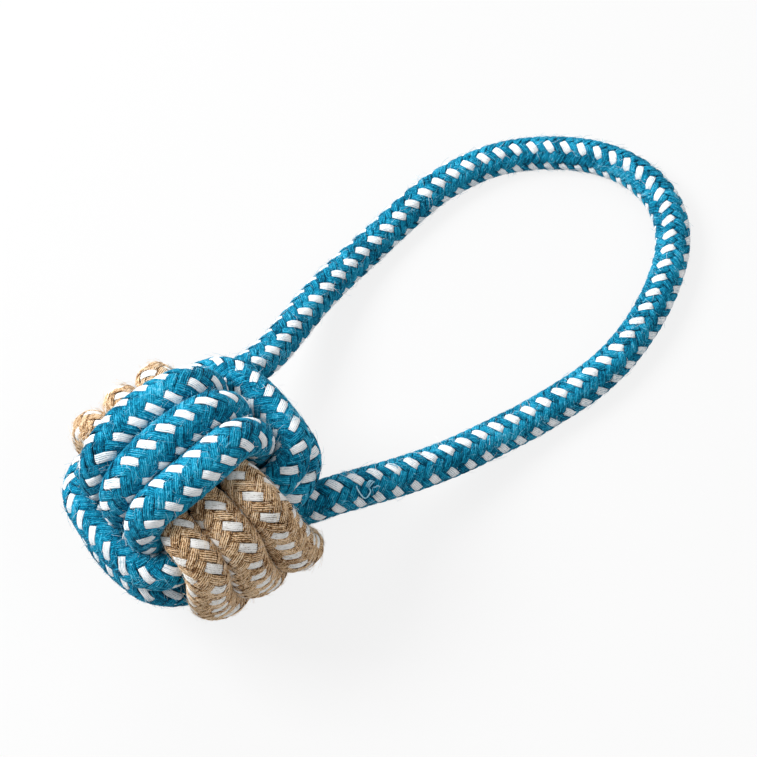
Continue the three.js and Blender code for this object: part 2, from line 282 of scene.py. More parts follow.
def shown_part(share):
    """1 where a turn shows, eased to 0 on its hidden passes."""
    return smoothstep(pass_share(share), *SHOWN_PASS)


def spread_lane(share, lane, spread, aside=0.0, fan=0.0, low_fan=0.0, slide=0.0):
    """Lane drawn apart on the outside by a share of itself and moved aside. On the front it is fanned out
    further, the more so on the low side, and slid, the most halfway down."""
    _, along = ring_line(share)
    outside = smoothstep(pass_share(share), *SPREAD_PASS)
    front = front_side(share)
    level = 1 - SLIDE_UP_LOSS * smoothstep(along, *SLIDE_UP)
    level = level - SLIDE_DOWN_LOSS * smoothstep(-along, *SLIDE_DOWN)
    apart = 1 + spread * outside + fan * front + low_fan * low_side(share)
    return lane * apart + aside * outside + slide * level * front


def knot_line(outer, inner, normal, share, lane):
    """Middle line of rope on the ball: the ring carried to its lane, then swollen at the face middles and
    drawn in at the corners by 1.5 times (sum of fourth powers over squared length squared, less a third),
    with the back and the left side pressed a little flat."""
    out, along = ring_line(share)
    points = out[:, None] * outer + along[:, None] * inner + lane[:, None] * normal
    square = (points ** 2).sum(1)
    swell = 1.5 * ((points ** 4).sum(1) / square ** 2 - 1 / 3)
    points = points * (1 + ROUNDING * (swell - EVEN_SWELL))[:, None]
    points[:, 0] *= 1 - BACK_FLAT * smoothstep(-points[:, 0], *BACK_REACH)
    points[:, 1] *= 1 - (LEFT_FLAT * smoothstep(points[:, 1], *LEFT_REACH)
                         * smoothstep(points[:, 0], *LEFT_START))
    return points + BALL_CENTRE


def rope_size(share, wider=0.0, front_wider=0.0, low_wider=0.0):
    """Rope's half width and half thickness: slim on hidden passes, fuller at corners, full on the outside,
    and wider by shares on the outside, on the front and on the low side."""
    corner = smoothstep(pass_share(share), *CORNER_PASS)
    outside = smoothstep(pass_share(share), *OUTSIDE_PASS)
    width = HIDDEN_WIDTH + CORNER_WIDER * corner + OUTSIDE_WIDER * outside
    width *= 1 + wider * outside + front_wider * front_side(share) + low_wider * low_side(share)
    thickness = HIDDEN_THICKNESS + CORNER_THICKER * corner + OUTSIDE_THICKER * outside
    return width / 2, thickness / 2


def unit(v):
    """Vectors divided by their lengths."""
    return v / np.linalg.norm(v, axis=-1, keepdims=True)


def white_strands():
    """1 for the white strands, every other one of the first way, and 0 for the dyed ones."""
    number = np.arange(2 * STRANDS_EACH_WAY)
    return np.where((number < STRANDS_EACH_WAY) & (number % 2 == 0), 1.0, 0.0)


def strand_section():
    """Places across a strand, as shares of its width, and heights, as shares of half its thickness: rounded
    yarns side by side under one crown, the square root of 1 - (2 x) cubed, and a flat underside."""
    top = np.linspace(0.5, -0.5, 2 * YARNS + 1)
    crown = np.sqrt(1 - np.abs(2 * top) ** 3)
    crown[2:-1:2] -= YARN_GROOVE
    return np.concatenate([top, UNDERSIDE_PLACES]), np.concatenate([crown, UNDERSIDE_HEIGHTS])


def wander(along):
    """Slow random drift along strands: the mean of sines of three wavelengths that start anywhere."""
    start = rng.uniform(0, 2 * np.pi, (len(along), 1, 3))
    return np.sin(2 * np.pi * along[..., None] / WANDER_WAVES + start).mean(-1)[..., None]


def resting(points):
    """Points eased up where they near the table: a height under TABLE_EASE becomes
    ease exp(height / ease - 1)."""
    height = points[..., 2]
    eased = TABLE_EASE * np.exp(np.minimum(height / TABLE_EASE, 1) - 1)
    points[..., 2] = np.where(height < TABLE_EASE, eased, height)
    return points


def rope_sides(line, side):
    """Unit directions to a rope's side and out of its face, square to its line."""
    tangent = unit(np.gradient(line, axis=0))
    side = unit(side - (side * tangent).sum(1, keepdims=True) * tangent)
    return side, np.cross(tangent, side)


def strand_spacing(middle):
    """Distance from strand to strand of one way, square to them: the length of the cross product of their
    way ahead and the step to the next strand, and the mean of that to both neighbours."""
    ahead = unit(np.gradient(middle, axis=1))
    ways = middle.reshape(2, STRANDS_EACH_WAY, *middle.shape[1:])
    step = (np.roll(ways, -1, axis=1) - ways).reshape(middle.shape)
    gap = np.linalg.norm(np.cross(ahead, step), axis=2).reshape(2, STRANDS_EACH_WAY, -1)
    return ((gap + np.roll(gap, 1, axis=1)) / 2).reshape(len(middle), -1, 1)


def braid(line, side, half_side, half_out, pitch, roll, slip, hand, lift, steep, pinch, white_width):
    """Strands of a braid on an oval rope. Eight strands turn each way, once a pitch, at the angles roll +
    2 pi (i + 1/4) / 8 plus or minus slip + 2 pi s / pitch. One way lies over where cos 4(angle - roll - 45
    degrees) is above nought and the other way where it is below, with steep sides, as two over and two
    under. A strand is drawn in where it dives. Gives strands (strands, steps, section, 3), how high they
    lie, and their yarns' places along and across."""
    side, out = rope_sides(line, side)
    steps = np.linalg.norm(np.diff(line, axis=0), axis=1)
    pitch = np.broadcast_to(pitch, len(line))
    turn = slip + 2 * np.pi * np.concatenate([[0], np.cumsum(2 * steps / (pitch[1:] + pitch[:-1]))])
    number = np.arange(2 * STRANDS_EACH_WAY)
    way = np.where(number < STRANDS_EACH_WAY, hand, -hand)[:, None]
    start = 2 * np.pi * (number % STRANDS_EACH_WAY + 0.25)[:, None] / STRANDS_EACH_WAY
    angle = roll + start + way * turn
    over = np.tanh(steep * np.cos(4 * (angle - roll - np.pi / 4)) * way * hand) / np.tanh(steep)
    sunk = lift + STRAND_THICKNESS / 2
    c, s = np.cos(angle)[..., None], np.sin(angle)[..., None]
    middle = line + (half_side - sunk)[:, None] * c * side + (half_out - sunk)[:, None] * s * out
    centre = middle + (lift * over)[..., None] * (c * side + s * out)
    along = np.cumsum(np.linalg.norm(np.diff(centre, axis=1, prepend=centre[:, :1]), axis=2), axis=1)
    ahead = unit(np.gradient(centre, axis=1))
    width = STRAND_FILL * strand_spacing(middle)
    face = unit(c * side / half_side[:, None] + s * out / half_out[:, None])
    across = unit(np.cross(face, ahead))
    face = np.cross(ahead, across)
    flat, crown = strand_section()
    fullness = 1 - pinch * (1 - over)[..., None] / 2 + white_width * white_strands()[:, None, None]
    offset = (flat * fullness + STRAND_WANDER * wander(along)) * width
    height = crown * (1 + THICKNESS_WANDER * wander(along)) * STRAND_THICKNESS / 2
    strands = centre[:, :, None] + across[:, :, None] * offset[..., None]
    strands = strands + face[:, :, None] * height[..., None]
    places = np.stack(np.broadcast_arrays(along[:, :, None], flat + 0.5), -1)
    return resting(strands), over, places


def filling(line, side, half_side, half_out):
    """Tube of rope filling just under the strands: an ellipse carried along the line."""
    side, out = rope_sides(line, side)
    angle = 2 * np.pi * np.arange(FILLING_SIDES)[:, None] / FILLING_SIDES
    half_side, half_out = half_side[:, None, None] - FILLING_DEPTH, half_out[:, None, None] - FILLING_DEPTH
    ellipse = half_side * np.cos(angle) * side[:, None] + half_out * np.sin(angle) * out[:, None]
    return resting(line[:, None] + ellipse)


def fibres(strands, over, line, shown, count):
    """Loose fibres: three-sided tubes that leave the high parts of strands near along their yarn, rise a
    little off the face and drift sideways by the square of the way. Gives points (fibres, rings, sides, 3),
    the strand that each is of and its way along."""
    steps, middle = strands.shape[1], YARNS
    weight = ((over > FIBRE_ROOT_HEIGHT) * shown).ravel()
    strand, step = np.divmod(rng.choice(weight.size, count, p=weight / weight.sum()), steps)
    root = strands[strand, step, rng.integers(1, 2 * YARNS, count)]
    face = unit(root - line[step])
    after, before = np.minimum(step + 1, steps - 1), np.maximum(step - 1, 0)
    ahead = strands[strand, after, middle] - strands[strand, before, middle]
    beside = unit(np.cross(face, ahead))
    ahead = np.cross(beside, face)
    turn = rng.normal(0, FIBRE_TURN, count)[:, None]
    ahead, beside = (ahead * np.cos(turn) + beside * np.sin(turn),
                     beside * np.cos(turn) - ahead * np.sin(turn))
    reach = rng.lognormal(FIBRE_REACH, FIBRE_REACH_SPREAD, count)
    reach = np.clip(reach, *FIBRE_REACH_LIMITS)[:, None, None]
    rise = rng.uniform(*FIBRE_RISE, count)[:, None, None]
    curl = rng.normal(0, FIBRE_CURL, count)[:, None, None]
    way = np.linspace(0, 1, FIBRE_RINGS)[:, None]
    path = root[:, None] + reach * (ahead[:, None] * way + beside[:, None] * curl * way ** 2
                                    + face[:, None] * rise * way * (FIBRE_FALL - way))
    angle = 2 * np.pi * np.arange(FIBRE_SIDES)[:, None] / FIBRE_SIDES
    ring = beside[:, None, None] * np.cos(angle) + face[:, None, None] * np.sin(angle)
    radius = FIBRE_RADIUS * (1 - FIBRE_THINNING * way)[..., None]
    return resting(path[:, :, None] + radius * ring), strand, reach * way


def tube_faces(first, tubes, rings, points):
    """Quads between the rings of tubes whose points follow each other from a first index, and their two
    ends."""
    grid = first + np.arange(tubes * rings * points).reshape(tubes, rings, points)
    beside = np.roll(grid, -1, axis=2)
    quads = np.stack([grid[:, :-1], beside[:, :-1], beside[:, 1:], grid[:, 1:]], -1).reshape(-1, 4)
    return quads, np.concatenate([grid[:, 0, ::-1], grid[:, -1]])


def tube_map(tubes, rings, points, columns, low, high):
    """Flat map of tubes between two heights: each one a band of its own with its rings one way and its
    points the other, and its ends as small rounds past the band. Gives the corners of the quads and of the
    ends."""
    rows = -(-tubes // columns)
    tube, ring, point, corner = np.indices((tubes, rings - 1, points, 4))
    u = (tube % columns + BAND_START + BAND_LENGTH * (ring + (corner > 1)) / (rings - 1)) / columns
    v = (tube // columns + BAND_EDGE + BAND_LENGTH * (point + (corner % 3 > 0)) / points) / rows
    end, tube, point = np.indices((2, tubes, points))
    angle = 2 * np.pi * point / points
    end_u = (tube % columns + END_START + END_STEP * end + END_WIDTH * np.cos(angle)) / columns
    end_v = (tube // columns + 0.5 + END_HEIGHT * np.sin(angle)) / rows
    return [np.stack([a.ravel(), low + (high - low) * b.ravel()], -1) for a, b in ((u, v), (end_u, end_v))]


def add_map(piece, corners):
    """Puts the flat map's corners, in the order of the faces, on a piece."""
    layer = piece.data.uv_layers.new(name="OFBake")
    layer.uv.foreach_set("vector", np.concatenate(corners).astype(np.float32).ravel())


def add_attributes(piece, yarn, weave):
    """Puts two sets of three numbers on each point. The yarn attribute holds its way along and across its
    strand and the strand's shade. The weave attribute holds whether it is white, how high it lies and
    whether it is a loose fibre."""
    for label, values in (("yarn", yarn), ("weave", weave)):
        attribute = piece.data.attributes.new(label, "FLOAT_VECTOR", "POINT")
        attribute.data.foreach_set("vector", values.astype(np.float32).ravel())


def packed(*values):
    """Three arrays spread over each other and joined as rows of three numbers."""
    return np.stack(np.broadcast_arrays(*values), -1).reshape(-1, 3)


def rope_piece(name, strands, over, places, tube, line, shown, fibres_per_mm):
    """One mesh of a rope: its strands, a tube of filling inside them and loose fibres, with the flat map and
    the attributes of each."""
    count, steps, section, _ = strands.shape
    white = white_strands()
    shade = rng.random(count)
    length = np.linalg.norm(np.diff(line, axis=0), axis=1)
    loose = int(fibres_per_mm * (length * shown[1:]).sum())
    hairs, owner, hair_way = fibres(strands, over, line, shown, loose)
    yarn = np.concatenate([
        packed(places[..., 0], places[..., 1], shade[:, None, None]),
        packed(0, 0.5, np.zeros(tube.shape[:2])),
        packed(hair_way, 0.5, shade[owner][:, None, None] + np.zeros(FIBRE_SIDES))])
    # The weave's height becomes painted shade in the material: the filling, at -1, is painted darkest and
    # fibres, at 1, lighter.
    weave = np.concatenate([
        packed(white[:, None, None], over[..., None], np.zeros(section)),
        packed(0, -1, np.zeros(tube.shape[:2])),
        packed(white[owner][:, None, None], 1, np.ones((FIBRE_RINGS, FIBRE_SIDES)))])
    vertices = np.concatenate([strands.reshape(-1, 3), tube.reshape(-1, 3), hairs.reshape(-1, 3)])
    tube_first = strands[..., 0].size
    hair_first = tube_first + tube[..., 0].size
    sets = ((0, count, steps, section, 1, *STRAND_BAND),
            (tube_first, 1, steps, FILLING_SIDES, 1, *FILLING_BAND),
            (hair_first, loose, FIBRE_RINGS, FIBRE_SIDES, FIBRE_COLUMNS, *FIBRE_BAND))
    quads, ends = zip(*(tube_faces(*found[:4]) for found in sets))
    piece = mesh_object(name, vertices, quads, ends)
    quad_map, end_map = zip(*(tube_map(*found[1:]) for found in sets))
    add_map(piece, quad_map + end_map)
    add_attributes(piece, yarn, weave)
    return piece


# The cotton's tone: its middle, the share of each noise in it, the painted shade that darkens strands lying
# low and lightens those lying high, the paler tone of loose fibres, and how deep the painted shade in grooves
# and at edges is on white strands.
MIDDLE_TONE = 0.42
STREAK_SHARE, SPECK_SHARE, CLOUD_SHARE, OWN_SHARE = 0.8, 1.1, 0.7, 0.2
STREAK_ALONG, STREAK_ACROSS = 0.6, 9.0
SPECK_SCALE, SPECK_DISTORTION, CLOUD_SCALE = 1500.0, 1.2, 130.0
SHADE_SEEDS = 61.0
LIFT_SHADE_TONE, FIBRE_TONE = 0.04, 0.27
WHITE_GROOVE_SHADE, WHITE_EDGE_SHADE_EASE = 0.5, 0.6
EDGE_POWER = 6.0
COTTON_BUMP, COTTON_BUMP_HEIGHT = 0.6, 0.00025


def attribute_parts(tree, name):
    """The three numbers of a point attribute."""
    node = tree.nodes.new("ShaderNodeAttribute")
    node.attribute_name = name
    return list(put(tree, "SeparateXYZ", node.outputs["Vector"]).node.outputs)


def rope_material(name, dyed, white, sheen, contrast, groove_shade_depth, edge_shade_depth):
    """Matted cotton. A tone runs from the dark of painted shade in the grooves between yarns to the light of
    loose
    fibres: noise drawn out along the yarn, specks and clouds by place, a tone of its own for each yarn, and
    painted shade from the sine of five half waves across a strand, from the sixth power of the way to its
    edges and from how low the strand lies. The tone picks the dyed or the white colour and lifts the bump."""
    material, tree, shader = matt_material(name, 0.95, 0.03)
    shader.inputs["Sheen Weight"].default_value = 0.1
    shader.inputs["Sheen Roughness"].default_value = 0.5
    shader.inputs["Sheen Tint"].default_value = (*sheen, 1)
    along, across, shade = attribute_parts(tree, "yarn")
    is_white, height, is_fibre = attribute_parts(tree, "weave")
    place = tree.nodes.new("ShaderNodeTexCoord").outputs["Object"]

    def math(operation, *values):
        """A math node."""
        return put(tree, "Math", *values, operation=operation)

    def noise(vector, scale, detail, distortion=0.0):
        """Noise of a scale and detail, with even roughness."""
        return put(tree, "TexNoise", vector, None, scale, detail, 0.6, 2.0, None, None, distortion)

    seed = math("MULTIPLY", shade, SHADE_SEEDS)
    drawn = put(tree, "CombineXYZ", math("MULTIPLY", along, STREAK_ALONG),
                math("MULTIPLY", across, STREAK_ACROSS), seed)
    streak = noise(drawn, 1.0, 3.0)
    speck = noise(place, SPECK_SCALE, 3.0, SPECK_DISTORTION)
    cloud = noise(place, CLOUD_SCALE, 2.0)
    yarn_number = math("FLOOR", math("MULTIPLY", across, float(YARNS)))
    own = put(tree, "TexWhiteNoise", put(tree, "CombineXYZ", yarn_number, seed, is_white))
    groove_shade = math("ABSOLUTE", math("SINE", math("MULTIPLY", across, YARNS * np.pi)))
    tone = MIDDLE_TONE
    for part, share in ((streak, STREAK_SHARE * contrast), (speck, SPECK_SHARE * contrast),
                        (cloud, CLOUD_SHARE), (own, OWN_SHARE)):
        tone = math("MULTIPLY_ADD", math("SUBTRACT", part, 0.5), share, tone)
    # Painted shade: darker in the grooves between yarns, a little lighter on their crowns; white strands take
    # their own depth.
    shade_depth = math("MULTIPLY_ADD", is_white, WHITE_GROOVE_SHADE - groove_shade_depth, groove_shade_depth)
    tone = math("MULTIPLY_ADD", math("SUBTRACT", groove_shade, 2 / np.pi), shade_depth, tone)
    # Painted shade: darker towards a strand's edges, where it meets its neighbours; white strands keep less
    # of it.
    edge_shade = math("POWER", math("ABSOLUTE", math("MULTIPLY_ADD", across, 2.0, -1.0)), EDGE_POWER)
    shade_depth = math("MULTIPLY_ADD", is_white, WHITE_EDGE_SHADE_EASE * edge_shade_depth, -edge_shade_depth)
    tone = math("MULTIPLY_ADD", edge_shade, shade_depth, tone)
    # Painted shade: darker where a strand lies low in the braid, lighter where it lies high.
    tone = math("MULTIPLY_ADD", height, LIFT_SHADE_TONE, tone)
    tone = math("MULTIPLY_ADD", is_fibre, FIBRE_TONE, tone)
    colour = put(tree, "MixRGB", is_white, tone_ramp(tree, tone, dyed), tone_ramp(tree, tone, white))
    dress(tree, shader, colour, tone, COTTON_BUMP, COTTON_BUMP_HEIGHT)
    return material


def winding_shares(low, high):
    """Shares of a winding from low to high, close together on the outside and further apart where it is
    hidden."""
    fine = np.linspace(low, high, FINE_STEPS)
    step = HIDDEN_STEP + (OUTSIDE_STEP - HIDDEN_STEP) * smoothstep(pass_share(fine), *FINE_PASS)
    count = np.concatenate([[0], np.cumsum(np.diff(fine) * LOOP / step[1:])])
    return np.interp(np.linspace(0, count[-1], int(count[-1]) + 1), count, fine)


def winding(name, node, material, axes, first_lane, pitch, hand, fibres_per_mm, lanes, swell, hangs,
            rolls, twists, slips):
    """One piece of rope for each turn, cut where it is hidden under the winding that crosses it. The axes
    are those of the ring's outer passes, its hidden passes and its lanes. Each turn has its own length by
    which it hangs out on the low side, roll of its braid, further roll down the front, and slip along the
    rope."""
    turns = len(rolls)
    for turn in range(turns):
        low = turn - 0.5 + (TUCKED_END if turn == 0 else 0)
        high = turn + 0.5 - (TUCKED_END if turn == turns - 1 else 0)
        share = winding_shares(low, high)
        lane = lane_line(share, turns, first_lane)
        line = knot_line(*axes, share, spread_lane(share, lane, **lanes))
        line -= (hangs[turn] * low_side(share))[:, None] * axes[0]
        half_width, half_thick = rope_size(share, **swell)
        side = np.broadcast_to(axes[2], line.shape)
        roll = rolls[turn] + twists[turn] * down_front(share)
        rope = braid(line, side, half_width, half_thick, pitch, roll, slips[turn], hand, **BALL_BRAID)
        tube = filling(line, side, half_width, half_thick)
        piece = rope_piece(f"{name}_turn_{turn + 1}", *rope, tube, line, shown_part(share), fibres_per_mm)
        piece.data.materials.append(material)
        if turn == 0:
            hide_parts(node)
        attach(piece, "ball")


# Colours by tone. Their dark ends are reached by noise and by the painted shade in grooves, at strand edges
# and on low-lying strands.
BLUE_TONES = ((0, (0.0002, 0.012, 0.028)), (1, (0.42, 0.77, 0.90)), (0.31, (0.0010, 0.083, 0.163)),
              (0.56, (0.0085, 0.285, 0.470)), (0.74, (0.05, 0.41, 0.605)))
WHITE_TONES = ((0, (0.17, 0.36, 0.45)), (1, (0.95, 0.955, 0.96)), (0.27, (0.74, 0.785, 0.815)),
               (0.48, (0.90, 0.915, 0.93)))
blue_rope = rope_material("blue_cotton_braid", BLUE_TONES, WHITE_TONES, sheen=(0.35, 0.75, 0.95),
                          contrast=0.92, groove_shade_depth=0.26, edge_shade_depth=0.4)
winding("blue_lengthwise", "blue_lengthwise_winding", blue_rope, axes=(Z, X, Y),
        first_lane=-LANE, pitch=BLUE_PITCH, hand=1, fibres_per_mm=BLUE_FIBRES_PER_MM,
        lanes=dict(spread=0.09, aside=0.4), swell=dict(wider=0.05), hangs=(0, 0, 0),
        rolls=(0.27, 0.72, -0.05), twists=(0, 0, 0), slips=(-0.39, -0.79, -0.42))

# Blue girth winding: two turns of the same blue rope round the ball's waist, over the lengthwise winding and
# under the tan one. The third lane of the waist is the handle rope's.
GIRTH_SPREAD = 0.05
winding("blue_girth", "blue_girth_winding", blue_rope, axes=(X, Y, Z),
        first_lane=0.0, pitch=BLUE_PITCH, hand=1, fibres_per_mm=BLUE_FIBRES_PER_MM,
        lanes=dict(spread=GIRTH_SPREAD), swell={}, hangs=(0, 0),
        rolls=(0.09, -0.18), twists=(0, 0), slips=(0, 0))

# Tan winding: three turns of tan rope over both sides of the ball, of the same braid with its white strands
# laid the other way. It is coarser and fuzzier than the blue rope.
TAN_PITCH = 18.2
TAN_FIBRES_PER_MM = 24
TAN_TONES = ((0, (0.04, 0.016, 0.006)), (1, (0.95, 0.79, 0.60)), (0.33, (0.29, 0.142, 0.060)),
             (0.58, (0.82, 0.56, 0.31)))
CREAM_TONES = ((0, (0.36, 0.32, 0.28)), (1, (0.96, 0.955, 0.94)), (0.26, (0.82, 0.80, 0.76)),
               (0.48, (0.94, 0.935, 0.915)))
# The tan takes deeper painted shade in its grooves and at its strand edges than the blue.
tan_rope = rope_material("tan_cotton_braid", TAN_TONES, CREAM_TONES, sheen=(0.95, 0.8, 0.6),
                         contrast=1.65, groove_shade_depth=0.66, edge_shade_depth=0.85)
winding("tan", "tan_winding", tan_rope, axes=(Y, Z, X),
        first_lane=-LANE, pitch=TAN_PITCH, hand=-1, fibres_per_mm=TAN_FIBRES_PER_MM,
        lanes=dict(spread=0.07, fan=0.02, low_fan=0.07, slide=-3.0),
        swell=dict(wider=0.03, front_wider=0.05, low_wider=0.08), hangs=(-1.5, -0.5, 2.0),
        rolls=(0.27, 0.58, 0.92), twists=(0.62, 0.1, 0.2), slips=(0, -0.5, 0.2))

# Handle: one more length of blue rope. It lies round the back of the ball in the waist's lowest lane, passes
# under the tan winding on both sides and runs out into a loop that lies on the table.
ROPE_RADIUS, HIDDEN_RADIUS = 4.65, 3.7
EMERGING = (6, 20)
RIGHT_LEG_FULLER, RIGHT_LEG_START = 0.055, (215, 250)
BALL_FACE = 30.961
BOW_HEIGHT = 3.68
SLING_TUCK = 2.6
SLING_TUCK_REACH, SLING_TUCK_PASS = (10, 26), (0.05, 0.35)
TUCK_WAY = np.array([0.5, 0.87, 0.0])
EXIT = (QUARTER - WRAP_END) / LOOP
EXIT_LEAD, EXIT_STEP, LEAD_STEPS = 9.2, 3, 40
# Points of the free rope: distance out from the ball's face, place across, and height as a share of the drop
# from where the rope leaves the ball.
ROUTE = np.array([
    [7, 23, 0.66], [20.5, 28, 0.39], [29, 31, 0.25], [42, 34, 0.07], [52, 35.2, 0], [64, 36, 0],
    [75, 36, 0], [86.5, 33.5, 0], [94, 30.3, 0], [101, 25.2, 0], [107.5, 18.5, 0], [113, 10, 0],
    [116, -0.5, 0], [114.5, -12.3, 0], [107.5, -22.4, 0], [97.5, -29, 0], [88, -33, 0], [75.5, -36, 0],
    [64.5, -36.4, 0], [54.5, -35, 0], [45, -33.4, 0.03], [34, -31.3, 0.15], [24, -29.8, 0.33],
    [11, -26.7, 0.59],
])
ROUTE_STEPS, HANDLE_STEP, HANDLE_SOFTENING = 40, 0.5, 5
HANDLE_BRAID = dict(lift=0.5, steep=2.3, pinch=0.3, white_width=-0.02)
# Along the handle's run: the braid's pitch, which is shortest round the bow, and how far its rows are
# rolled.
HANDLE_LAY = np.array([
    [0, 21.5, 1.26], [66, 21.5, 1.26], [105, 19.5, 1.08], [143, 18.3, 0.9],
    [188, 17.8, 1.05], [235, 19.0, 0.90], [275, 20.3, 0.93], [345, 20.5, 0.95],
])
ROOT, LEG, OVERLAP = 22, 42, 2


def eased_route(points):
    """Centripetal Catmull-Rom line through points, by cubic pieces with tangents from root-distance
    steps."""
    ends = np.concatenate([2 * points[:1] - points[1:2], points, 2 * points[-1:] - points[-2:-1]])
    gap = np.sqrt(np.linalg.norm(np.diff(ends, axis=0), axis=1))[:, None]
    a, b, c, d = ends[:-3], ends[1:-2], ends[2:-1], ends[3:]
    ga, gb, gc = gap[:-2], gap[1:-1], gap[2:]
    leave = ((b - a) / ga - (c - a) / (ga + gb) + (c - b) / gb) * gb
    arrive = ((c - b) / gb - (d - b) / (gb + gc) + (d - c) / gc) * gb
    t = np.linspace(0, 1, ROUTE_STEPS, endpoint=False)[None, :, None]
    b, c, leave, arrive = b[:, None], c[:, None], leave[:, None], arrive[:, None]
    square, cube = -3 * b + 3 * c - 2 * leave - arrive, 2 * b - 2 * c + leave + arrive
    line = b + leave * t + square * t ** 2 + cube * t ** 3
    return np.concatenate([line.reshape(-1, 3), points[-1:]])


def run_along(points):
    """Length of the line up to each of its points."""
    return np.concatenate([[0], np.cumsum(np.linalg.norm(np.diff(points, axis=0), axis=1))])


def even_line(points, step):
    """The same line at even steps, by linear interpolation along its length."""
    run = run_along(points)
    places = np.linspace(0, run[-1], int(run[-1] / step) + 1)
    return np.stack([np.interp(places, run, points[:, k]) for k in range(3)], -1)


def softened(values, width):
    """Values averaged along the line with a bell curve, with the ends continued straight."""
    reach = 3 * width
    bell = np.exp(-0.5 * (np.arange(-reach, reach + 1) / width) ** 2)
    head = 2 * values[:1] - values[reach:0:-1]
    tail = 2 * values[-1:] - values[-2:-reach - 2:-1]
    long = np.concatenate([head, values, tail])
    bell = bell / bell.sum()
    return np.stack([np.convolve(long[:, k], bell, "valid") for k in range(values.shape[1])], -1)


def waist_line(share):
    """Middle line of rope in the waist's lowest lane."""
    return knot_line(X, Y, Z, share, spread_lane(share, -LANE, GIRTH_SPREAD))


back = winding_shares(0.5, 1.0)
sling_line = waist_line(back)
tucked = smoothstep(-sling_line @ TUCK_WAY, *SLING_TUCK_REACH)
tucked = tucked * smoothstep(pass_share(back), *SLING_TUCK_PASS)
sling_line += SLING_TUCK * tucked[:, None] * TUCK_WAY
sling_width, sling_thick = rope_size(back)
sling_side = np.cross(Z, unit(np.gradient(sling_line, axis=0)))

left_lead = waist_line(np.linspace(0.5, 0.5 - EXIT, LEAD_STEPS))
right_lead = waist_line(np.linspace(1.0 + EXIT, 1.0, LEAD_STEPS))
left_way = unit(left_lead[-1] - left_lead[-2])
right_way = unit(right_lead[0] - right_lead[1])
left_exit = left_lead[-1] + EXIT_LEAD * left_way
right_exit = right_lead[0] + EXIT_LEAD * right_way
drop = left_exit[2] - BOW_HEIGHT
chosen = np.stack([BALL_FACE + ROUTE[:, 0], ROUTE[:, 1], BOW_HEIGHT + ROUTE[:, 2] * drop], -1)
free = eased_route(np.concatenate([[left_exit, left_exit + EXIT_STEP * left_way], chosen,
                                   [right_exit + EXIT_STEP * right_way, right_exit]]))
handle_line = even_line(np.concatenate([left_lead, free, right_lead]), HANDLE_STEP)
handle_line = softened(handle_line, HANDLE_SOFTENING)
handle_run = run_along(handle_line)
handle_length = handle_run[-1]
handle_side = np.cross(Z, unit(np.gradient(handle_line, axis=0)))
shown = smoothstep(np.minimum(handle_run, handle_length - handle_run), *EMERGING)
handle_half = HIDDEN_RADIUS + (ROPE_RADIUS - HIDDEN_RADIUS) * shown
handle_half = handle_half * (1 + RIGHT_LEG_FULLER * smoothstep(handle_run, *RIGHT_LEG_START))

sling_rope = braid(sling_line, sling_side, sling_thick, sling_width, BLUE_PITCH, 0, 0, 1, **BALL_BRAID)
sling_tube = filling(sling_line, sling_side, sling_thick, sling_width)
sling = rope_piece("handle_sling_rope", *sling_rope, sling_tube, sling_line, shown_part(back),
                   BLUE_FIBRES_PER_MM)
sling.data.materials.append(blue_rope)
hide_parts("handle_sling")
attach(sling, "ball")

handle_pitch, handle_roll = (np.interp(handle_run, HANDLE_LAY[:, 0], HANDLE_LAY[:, k]) for k in (1, 2))
strands, over, places = braid(handle_line, handle_side, handle_half, handle_half, handle_pitch, handle_roll,
                              0, 1, **HANDLE_BRAID)
handle_tube = filling(handle_line, handle_side, handle_half, handle_half)
cut_run = EXIT_LEAD + (QUARTER - WRAP_END) + ROOT + LEG - OVERLAP
cut_left = int(np.searchsorted(handle_run, cut_run))
cut_right = int(np.searchsorted(handle_run, handle_length - cut_run))
stretches = (("left", 0, cut_left), ("bow", cut_left, cut_right), ("right", cut_right, len(handle_run) - 1))
for end, low, high in stretches:
    part = slice(low, high + 1)
    piece = rope_piece(f"handle_rope_{end}", strands[:, part], over[:, part], places[:, part],
                       handle_tube[part], handle_line[part], shown[part], BLUE_FIBRES_PER_MM)
    piece.data.materials.append(blue_rope)
    if end == "bow":
        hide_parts("handle_bow", "handle_knuckle_left", "handle_knuckle_right")
        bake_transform(piece)
    else:
        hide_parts(f"handle_root_{end}", f"handle_leg_{end}")
        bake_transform(piece)

# Pulled yarns: a slack loop, a tuft and a snag that chewing has drawn out of the braid of the right leg,
# near the ball. Each is a thin tube of cotton yarn with both its ends in the rope.
YARN_RADIUS = 0.17
YARN_RINGS, YARN_SIDES, YARN_COLUMNS = 24, 6, 2
YARN_LENGTH = 7
YARN_PALENESS = 0.25
SLACK_RUN = 310.3
# For each yarn, points of its run along the rope from the slack loop, angle round the rope and height off
# it.
PULLED_YARNS = np.array([
    [[1.3, 76, -0.6], [1.5, 60, 0.35], [0.2, 34, 0.6], [-1.4, 48, 0.5], [-1.2, 64, -0.6]],
    [[-0.7, 60, -0.6], [-1.0, 67, 0.15], [-1.5, 73, 0.25], [-2.1, 76, 0.2], [-2.7, 75, -0.6]],
    [[-0.9, 57, -0.6], [-1.3, 64, 0.2], [-1.8, 70, 0.3], [-2.5, 74, 0.2], [-3.1, 72, -0.6]],
    [[-1.0, 54, -0.6], [-1.6, 61, 0.15], [-2.2, 66, 0.25], [-2.9, 70, 0.15], [-3.4, 69, -0.6]],
    [[-2.4, 56, -0.6], [-2.8, 55, 0.25], [-3.5, 57, 0.4], [-4.0, 53, 0.2], [-4.3, 49, -0.6]],
    [[-9.2, 118, -0.6], [-9.0, 108, 0.3], [-9.6, 100, 0.35], [-10.2, 94, 0.25], [-10.0, 86, -0.6]],
])


